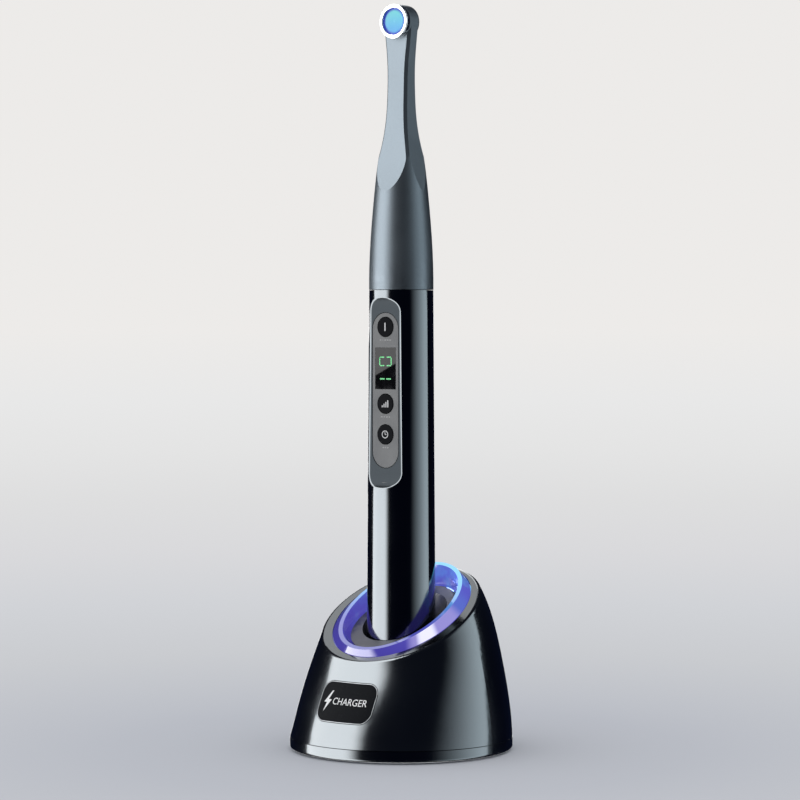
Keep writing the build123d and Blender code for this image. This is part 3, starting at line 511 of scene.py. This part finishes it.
def rounded_frame(form, width, height, corner, line):
    """Flat band of the given line width inside a rounded rectangle, drawn in X and Z."""
    loops = []
    for inset in (0.0, line):
        sheet = bmesh.new()
        bmesh.ops.create_grid(sheet, x_segments=1, y_segments=1, size=0.5)
        inner_size = (width - 2 * inset, height - 2 * inset, 1)
        bmesh.ops.scale(sheet, vec=inner_size, verts=sheet.verts)
        round_corners(sheet, corner - inset, 8)
        bmesh.ops.delete(sheet, geom=sheet.faces[:], context="FACES_ONLY")
        straights = [e for e in sheet.edges if e.calc_length() > corner]
        bmesh.ops.subdivide_edges(sheet, edges=straights, cuts=12)
        twin = {v: form.verts.new(v.co) for v in sheet.verts}
        loops += [form.edges.new([twin[v] for v in e.verts]) for e in sheet.edges]
        sheet.free()
    bmesh.ops.bridge_loops(form, edges=loops)
    stand_up(form)


def thicken(form, depth):
    """Gives flat print that faces the front its thickness, towards -Y."""
    grown = bmesh.ops.extrude_face_region(form, geom=form.faces[:])["geom"]
    front = [part for part in grown if isinstance(part, bmesh.types.BMVert)]
    bmesh.ops.translate(form, vec=(0, -depth, 0), verts=front)
    bmesh.ops.recalc_face_normals(form, faces=form.faces)


def print_on_badge(name, form, finish):
    """Lays flat print on the badge's curved front and makes it a piece of the base."""
    well_in_front = (badge_centre.x, -0.1, badge_centre.z)
    bmesh.ops.translate(form, vec=well_in_front, verts=form.verts)
    for vert in form.verts:
        hit = badge_front.ray_cast(vert.co, Vector((0, 1, 0)))[0]
        vert.co.y = hit.y
    thicken(form, ink_depth)
    piece = mesh_piece(name, form, finish)
    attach(piece, "base")


line_inset = 0.00022
line_corner = 0.0038
line_width = 0.00014
edge_line = bmesh.new()
framed_width = badge_high.x - badge_low.x - 2 * line_inset
framed_height = badge_high.z - badge_low.z - 2 * line_inset
rounded_frame(edge_line, framed_width, framed_height, line_corner, line_width)
silver_ink = ink("silver_ink", (0.38, 0.40, 0.42), rough=0.35, Metallic=0.7)
print_on_badge("badge_edge_line", edge_line, silver_ink)

millimetre = 0.001
bolt_outline = [
    (0.9, 3.4),
    (-1.6, -0.35),
    (-0.25, -0.35),
    (-0.95, -3.4),
    (1.65, 0.6),
    (0.25, 0.6),
    (1.5, 3.4),
]
bolt_across = -7.6
bolt = bmesh.new()
bolt_corners = [Vector((bolt_across + x, 0, z)) * millimetre for x, z in bolt_outline]
bolt.faces.new([bolt.verts.new(corner) for corner in bolt_corners])
bmesh.ops.subdivide_edges(bolt, edges=bolt.edges[:], cuts=2)
bmesh.ops.triangulate(bolt, faces=bolt.faces)
print_on_badge("badge_bolt", bolt, white_ink)


def word_form(text, size, centre):
    """Lettering as flat mesh in X and Z about a centre."""
    letters = bpy.data.curves.new(text, "FONT")
    letters.body, letters.size = text, size
    letters.align_x, letters.align_y = "CENTER", "CENTER"
    letters.resolution_u = 4
    holder = bpy.data.objects.new(text, letters)
    bpy.context.scene.collection.objects.link(holder)
    bpy.context.view_layer.update()
    shaped = holder.evaluated_get(bpy.context.evaluated_depsgraph_get())
    flat = bpy.data.meshes.new_from_object(shaped)
    bpy.data.objects.remove(holder)
    form = bmesh.new()
    form.from_mesh(flat)
    bmesh.ops.remove_doubles(form, verts=form.verts, dist=1e-7)
    stand_up(form)
    bmesh.ops.translate(form, vec=(centre[0], 0, centre[1]), verts=form.verts)
    return form


word_size = 0.0031
word_centre = (0.0018, 0.0001)
print_on_badge("badge_word", word_form("CHARGER", word_size, word_centre), white_ink)

# ------------------------------------------------------------------ tray
# Grey moulded tray that closes the top of the shell and takes the tail of the handpiece in its well. Its
# satin lacquer picks up the ring's light.
tray = Finish("tray_satin")
tray_speck = tray.noise(0.00035, 2.0)
tray_wear = tray.between(tray.noise(0.003, 5.0), 0.5, 0.68)
tray.surface(
    Base_Color=tray.mix(tray_wear, (0.10, 0.105, 0.125), (0.14, 0.145, 0.165)),
    Metallic=0.35,
    Roughness=0.3 + tray_wear * 0.12,
    Normal=tray.bump(tray_speck, 0.000004),
)
coat(tray.material, "dock_tray")

# ------------------------------------------------------------------ light ring
# Edge-lit acrylic ring round the mouth of the tray: blue-violet through its body, and cyan where the light
# leaves by its crest and its rear. A pale lavender arc and a near-white spot on the bevel at the right front
# are painted reflections of the soft boxes, in its colour and its glow. Its LEDs stand on a ring board
# underneath.
ring_low, ring_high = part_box("light_ring")
rim_tilt = math.radians(31.0)
ring = Finish("ring_acrylic")
ring_place = ring.place()
ring_back = ring.between(ring.along(ring_place, "Y"), -0.012, 0.02)
ring_tall = ring.between(ring.along(ring_place, "Z"), ring_low.z, ring_high.z)
ring_normal = ring.node("ShaderNodeNewGeometry", out="Normal")
crest = ring.facing(ring_normal, (0, -math.sin(rim_tilt), math.cos(rim_tilt)))
crest_glow = ring.between(crest, 0.75, 0.98) * (0.05 + ring_back * 0.95)
mottle = ring.between(ring.noise(0.006, 2.0), 0.42, 0.68)
cyan_glow = crest_glow.maths("MAXIMUM", crest_glow, mottle * ring_back * 0.25)
ring_body = ring.ramp(
    ring_tall,
    (0.0, (0.05, 0.04, 0.29)),
    (0.5, (0.075, 0.06, 0.40)),
    (1.0, (0.09, 0.10, 0.52)),
)
oval_to_round = (1.17, 1, 0)
ring_round = ring.scaled(ring_place, oval_to_round)
ring_way = ring.node("ShaderNodeVectorMath", {"operation": "NORMALIZE"}, {0: ring_round})
bevel = ring.between(crest, 0.35, 0.6) * ring.between(crest, 0.97, 0.9)


def arc(turn, low, high):
    """Mask of the bevel's arc that lies about that many degrees round from the front, where a painted
    reflection goes.
    """
    way = (math.sin(math.radians(turn)), -math.cos(math.radians(turn)), 0)
    return ring.between(ring.facing(ring_way, way), low, high) * bevel


# Painted reflections of the soft boxes on the bevel: a pale lavender arc and a near-white hot spot, mixed
# into the colour and the glow.
painted_pale_reflection = arc(70, 0.9, 0.96)
painted_hot_highlight = arc(63, 0.986, 0.998)
ring_glow_and_painted_reflections = ring.mix(cyan_glow, ring_body, (0.10, 0.50, 0.85))
ring_glow_and_painted_reflections = ring.mix(painted_pale_reflection * 0.8, ring_glow_and_painted_reflections, (0.30, 0.27, 0.60))
ring_glow_and_painted_reflections = ring.mix(painted_hot_highlight * 0.85, ring_glow_and_painted_reflections, (0.82, 0.82, 1.0))
ring.surface(
    Base_Color=ring.mix(0.65, ring_glow_and_painted_reflections, (0.01, 0.01, 0.03)),
    Roughness=0.1 + mottle * 0.05,
    Specular_IOR_Level=0.6,
    Emission_Color=ring_glow_and_painted_reflections,
    Emission_Strength=1.0,
    Coat_Weight=1.0,
    Coat_Roughness=0.05,
    Coat_IOR=1.75,
    Normal=ring.bump(ring.noise(0.002, 2.0), 0.000002),
)
coat(ring.material, "light_ring")
led = Finish("led_phosphor")
led_core = led.noise(0.0006, 2.0)
led.surface(
    Base_Color=led.ramp(led_core, (0.3, (0.25, 0.30, 0.9)), (0.7, (0.55, 0.65, 1.0))),
    Emission_Color=led.ramp(led_core, (0.3, (0.2, 0.25, 1.0)), (0.7, (0.4, 0.6, 1.0))),
    Emission_Strength=3.0,
    Roughness=0.3,
)
coat(led.material, "ring_leds")

# ------------------------------------------------------------------ charging pins
# Turned brass pins and their barrels, hard gold over nickel, on wound stainless springs. Each spring's mesh
# is shown as a piece of its own, hung on the base.
gold = metal(
    "contact_gold", colour=(0.90, 0.62, 0.26), rough=0.2, stretch=(1, 1, 8), relief=0.000001
)
coat(gold, "centre_pin", "side_pin", "pin_barrels", "tail_pad_centre", "tail_pad_ring", "front_contact")
spring_steel = metal("spring_steel", colour=(0.6, 0.6, 0.6), rough=0.2)
coat(spring_steel, "battery_spring")
for pin in ("centre_pin", "side_pin"):
    coils = bmesh.new()
    coils.from_mesh(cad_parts[f"{pin}_spring"].data)
    spring = mesh_piece(f"{pin}_coils", coils, spring_steel)
    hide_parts(f"{pin}_spring")
    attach(spring, "base")
    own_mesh(spring)

# ------------------------------------------------------------------ barrel
# Turned tube with the same metallised lacquer as the base, rubbed at the tail where it drops into the well.
# It holds a wrapped lithium cell, and a nylon carrier for the boards; the tail cap is black ABS.
pocket_grey = (0.020, 0.0235, 0.0265)
barrel_low, barrel_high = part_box("barrel_tube")
turned_radius_low = 0.01195
turned_radius_high = 0.01101
pocket_foot = 0.06


def milled_pocket(finish):
    """Mask of the pocket milled for the key plate: what lies under the turned surface, above the tail."""
    place = finish.place()
    tall = finish.along(place, "Z")
    radius = finish.between(tall, barrel_low.z, barrel_high.z, turned_radius_low, turned_radius_high)
    out = finish.length(finish.scaled(place, (1, 1, 0)))
    under = finish.between(radius - out, 0.00005, 0.00025)
    return under * finish.between(tall, pocket_foot, pocket_foot + 0.002)


barrel_lacquer = lacquer(
    "barrel_lacquer",
    deep=(0.112, 0.124, 0.133),
    bright=(0.135, 0.148, 0.158),
    rough=0.12,
    rub_low=0.018,
    rub_high=0.034,
    pocket=milled_pocket,
    pocket_tone=pocket_grey,
)
coat(barrel_lacquer, "barrel_tube")
tail_abs = plastic("tail_abs", dark=(0.008, 0.008, 0.010), light=(0.016, 0.016, 0.018), rough=0.35)
coat(tail_abs, "tail_cap")
rubber = plastic(
    "seal_silicone",
    dark=(0.02, 0.02, 0.022),
    light=(0.035, 0.035, 0.037),
    rough=0.6,
    grain=0.0003,
    relief=0.000003,
)
coat(rubber, "tail_seal", "swivel_seal")
wrap = Finish("cell_wrap_film")
wrap_join = 0.078
wrap_band = wrap.between(wrap.along(wrap.place(), "Z"), wrap_join, wrap_join + 0.0002)
wrap.surface(
    Base_Color=wrap.mix(wrap_band, (0.03, 0.09, 0.22), (0.6, 0.62, 0.64)),
    Roughness=0.3 + wrap.noise(0.003) * 0.1,
    Normal=wrap.bump(wrap.noise(0.0012, 4.0), 0.00001),
)
coat(wrap.material, "battery_cell")
sleeve_film = plastic("sleeve_film", dark=(0.35, 0.33, 0.28), light=(0.45, 0.42, 0.36), rough=0.4)
coat(sleeve_film, "battery_sleeve")
nylon = plastic("carrier_nylon", dark=(0.10, 0.10, 0.105), light=(0.14, 0.14, 0.145), rough=0.5)
coat(nylon, "carrier", "contact_bulkhead")

# ------------------------------------------------------------------ key plate
# Grey anodised plate bonded into the flat of the barrel and lightly brushed along its length. Small grey
# captions are printed under the keys.
plate = Finish("plate_anodised")
brushed = plate.noise(0.00022, 3.0, (1, 1, 14))
plate_cloud = plate.noise(0.008, 3.0)
plate.surface(
    Base_Color=plate.ramp(
        brushed * 0.4 + plate_cloud * 0.6,
        (0.35, (0.060, 0.063, 0.067)),
        (0.65, (0.086, 0.089, 0.092)),
    ),
    Metallic=0.25,
    Roughness=plate.between(brushed, 0.3, 0.7, 0.4, 0.5),
    Specular_IOR_Level=0.3,
    Normal=plate.bump(brushed, 0.0000025),
)
coat(plate.material, "key_plate")
plate_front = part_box("key_plate")[0].y


def bar(form, centre, length, width, turn=0.0):
    """Adds a flat bar with rounded ends, drawn in X and Z in millimetres."""
    strip = bmesh.new()
    bmesh.ops.create_grid(strip, x_segments=1, y_segments=1, size=0.5)
    bmesh.ops.scale(strip, vec=(length, width, 1), verts=strip.verts)
    round_corners(strip, width * 0.45, 4)
    turned = Matrix.Rotation(math.radians(turn), 3, "Z")
    bmesh.ops.rotate(strip, cent=(0, 0, 0), matrix=turned, verts=strip.verts)
    stand_up(strip)
    bmesh.ops.translate(strip, vec=(centre[0], 0, centre[1]), verts=strip.verts)
    bmesh.ops.scale(strip, vec=(millimetre, millimetre, millimetre), verts=strip.verts)
    twin = {v: form.verts.new(v.co) for v in strip.verts}
    for face in strip.faces:
        form.faces.new([twin[v] for v in face.verts])
    strip.free()


def print_on_flat(name, form, finish, at, body, depth=ink_depth):
    """Prints a flat form on a face that looks to the front, at the point at."""
    bmesh.ops.translate(form, vec=at, verts=form.verts)
    thicken(form, depth)
    piece = mesh_piece(name, form, finish)
    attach(piece, body)


caption_ink = ink("caption_ink", (0.30, 0.305, 0.31))
caption_drop = 0.0045
caption_depth = 0.00001
dash_gap = 0.28
dash_height = 0.42
captions = {
    "power_button": (0.9, 0.5, 0.9, 0.7, 0.9),
    "mode_button": (0.9, 0.7, 0.9, 0.7),
    "time_button": (0.8, 0.5, 0.8),
}
for key, dashes in captions.items():
    key_low, key_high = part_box(key)
    caption = bmesh.new()
    reach = -(sum(dashes) + dash_gap * (len(dashes) - 1)) / 2
    for dash in dashes:
        bar(caption, (reach + dash / 2, 0), dash, dash_height)
        reach += dash + dash_gap
    at = (0, plate_front, (key_low.z + key_high.z) / 2 - caption_drop)
    print_on_flat(f"caption_{key}", caption, caption_ink, at, "handpiece", caption_depth)

# ------------------------------------------------------------------ display
# Black glass window over a segment display, bonded into the plate. Two green brackets stand over two green
# dashes, lit from behind, and a black flag in the studio cuts the reflection across the glass.
glass = Finish("window_glass")
glass_smear = glass.between(glass.noise(0.004, 4.0), 0.4, 0.7)
glass.surface(
    Base_Color=glass.mix(glass_smear, (0.004, 0.004, 0.005), (0.010, 0.010, 0.012)),
    Roughness=0.015 + glass_smear * 0.015,
    Specular_IOR_Level=0.24,
    Normal=glass.bump(glass.noise(0.002), 0.0000004),
)
coat(glass.material, "display_glass")
window_low, window_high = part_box("display_glass")
window_centre = (
    (window_low.x + window_high.x) / 2,
    window_low.y,
    (window_low.z + window_high.z) / 2,
)


def seen_in_window(across, up, distance):
    """Point that far off that the camera sees mirrored at a place on the glass, given in millimetres."""
    spot = Vector(window_centre) + Vector((across, 0, up)) * millimetre
    image = camera.location.copy()
    image.y = 2 * spot.y - image.y
    return spot + (spot - image).normalized() * distance


flag_distance = 0.34
flag_thickness = 0.0005
flag_outline = [(-4.8, -2.6), (4.8, 2.0), (4.8, -7.4), (-4.8, -7.4)]
flag_form = bmesh.new()
flag_corners = [seen_in_window(across, up, flag_distance) for across, up in flag_outline]
flag_form.faces.new([flag_form.verts.new(corner) for corner in flag_corners])
bmesh.ops.solidify(flag_form, geom=flag_form.faces[:], thickness=flag_thickness)
flannel = Finish("flag_flannel")
nap = flannel.noise(0.001)
flannel.surface(
    Base_Color=flannel.ramp(nap, (0.3, (0.002, 0.002, 0.002)), (0.7, (0.006, 0.006, 0.006))),
    Roughness=1.0,
    Specular_IOR_Level=0.0,
)
flag = mesh_piece("window_flag", flag_form, flannel.material)
flag.visible_camera = False
flag.visible_diffuse = False
segment = Finish("segment_green")
glimmer = segment.noise(0.0007, 2.0)
segment_colour = segment.ramp(glimmer, (0.3, (0.02, 0.42, 0.10)), (0.7, (0.10, 0.72, 0.22)))
segment.surface(
    Base_Color=segment_colour,
    Roughness=0.3,
    Emission_Color=segment_colour,
    Emission_Strength=0.25,
)
segment_depth = 0.00002
segments = bmesh.new()
for side in (-1, 1):
    bar(segments, centre=(side * 2.45, 2.4), length=2.5, width=0.42, turn=90)
    for level in (3.85, 0.95):
        bar(segments, centre=(side * 1.45, level), length=1.9, width=0.38)
    bar(segments, centre=(side * 1.35, -3.6), length=2.0, width=0.45)
print_on_flat(
    "display_segments", segments, segment.material, window_centre, "handpiece", segment_depth
)

# ------------------------------------------------------------------ keys
# Moulded soft-touch black elastomer keys, each with its mark printed in pale ink: a bar for power, a rising
# ramp for the mode, and a small clock for the time.
key_rubber = plastic(
    "key_elastomer",
    dark=(0.003, 0.0035, 0.005),
    light=(0.006, 0.007, 0.009),
    rough=0.5,
    grain=0.0002,
    relief=0.000003,
    Specular_IOR_Level=0.02,
)
coat(key_rubber, "power_button", "mode_button", "time_button")
key_ink = ink("key_ink", (0.62, 0.63, 0.64))


def print_on_key(node, body, form):
    """Prints a mark on the middle of a key's face, to move with the key."""
    low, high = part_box(node)
    at = ((low.x + high.x) / 2, low.y, (low.z + high.z) / 2)
    print_on_flat(f"mark_{node}", form, key_ink, at, body)


power_mark = bmesh.new()
bar(power_mark, centre=(0, 0), length=2.9, width=0.5, turn=90)
print_on_key("power_button", "power_key", power_mark)

mode_mark = bmesh.new()
step_heights = (0.7, 1.3, 1.9, 2.5)
step_pitch = 0.8
for step, tall in enumerate(step_heights):
    foot_centre = (-1.2 + step_pitch * step, -1.25 + tall / 2)
    bar(mode_mark, foot_centre, length=tall, width=0.45, turn=90)
print_on_key("mode_button", "mode_key", mode_mark)

time_mark = bmesh.new()
dial_radii = (0.00135, 0.00105)
for radius in dial_radii:
    bmesh.ops.create_circle(time_mark, segments=40, radius=radius)
bmesh.ops.bridge_loops(time_mark, edges=time_mark.edges[:])
stand_up(time_mark)
bar(time_mark, centre=(0, 0.35), length=0.85, width=0.28, turn=90)
bar(time_mark, centre=(0.27, -0.02), length=0.7, width=0.28)
print_on_key("time_button", "time_key", time_mark)

# ------------------------------------------------------------------ head
# One milled and bead-blasted alloy body: cone, faceted neck and round head. Its satin grey lacquer shows its
# fine flake, and is a little polished low on the cone, where fingers turn it.
flake_scale = 4200.0
nose = Finish("nose_satin_lacquer")
flake_values = {"Vector": nose.place(), "Scale": flake_scale}
flake = nose.node("ShaderNodeTexVoronoi", {"feature": "F1"}, flake_values, "Color")
flake_tone = nose.node("ShaderNodeSeparateColor", None, {"Color": flake}, "Red")
nose_cloud = nose.between(nose.noise(0.02, 4.0), 0.35, 0.7)
low_on_cone = nose.between(nose.along(nose.place(), "Z"), 0.172, 0.16)
polished = low_on_cone * nose.between(nose.noise(0.002, 5.0), 0.45, 0.6)
nose_shade = flake_tone * 0.4 + nose_cloud * 0.4 + polished * 0.2
nose.surface(
    Base_Color=nose.mix(nose_shade, (0.122, 0.144, 0.162), (0.148, 0.174, 0.195)),
    Metallic=0.88,
    Roughness=0.41 + nose_cloud * 0.03 - polished * 0.05,
    Normal=nose.bump(flake_tone, 0.0000005),
)
coat(nose.material, "nose_shell")
bush_acetal = plastic("bush_acetal", dark=(0.05, 0.05, 0.052), light=(0.07, 0.07, 0.072), rough=0.35)
coat(bush_acetal, "swivel_bush", "contact_plug")
copper = metal("copper", colour=(0.80, 0.42, 0.28), rough=0.3)
coat(copper, "head_wires", "heat_slug")

# ------------------------------------------------------------------ bezel, lens and lamp
# Polished chrome bezel that clamps the glass lens. Behind the lens a blue LED sits in a bright reflector, so
# the lens glows cyan at its middle and violet at its rim.
chrome = metal(
    "bezel_chrome", colour=(0.88, 0.89, 0.90), rough=0.07, relief=0.0000004, stained=0.97
)
coat(chrome, "lens_bezel", "reflector")
lens_low, lens_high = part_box("lens")
lens_centre = (lens_low + lens_high) / 2
lens = Finish("lens_glow")
lens_place = lens.place(centre=(lens_centre.x, lens_centre.y, lens_centre.z))
from_axis = lens.length(lens.scaled(lens_place, (1, 0, 1)))
lens_radius = (lens_high.z - lens_low.z) / 2
lens_rise = lens.between(lens.along(lens_place, "Z"), -lens_radius, lens_radius)
lens_middle = lens.ramp(lens_rise, (0.0, (0.12, 0.40, 0.74)), (1.0, (0.15, 0.55, 0.60)))
lens_rim = lens.between(from_axis, lens_radius * 0.72, lens_radius * 0.96)
lens_light = lens.mix(lens_rim, lens_middle, (0.05, 0.07, 0.48))
lens.surface(
    Base_Color=lens_light,
    Roughness=0.06 + lens.noise(0.0007) * 0.05,
    Specular_IOR_Level=0.1,
    Emission_Color=lens_light,
    Emission_Strength=0.32,
    Coat_Weight=0.12,
    Coat_Roughness=0.03,
    Normal=lens.bump(lens.noise(0.0012, 2.0), 0.0000006),
)
coat(lens.material, "lens")
coat(led.material, "led_emitter")
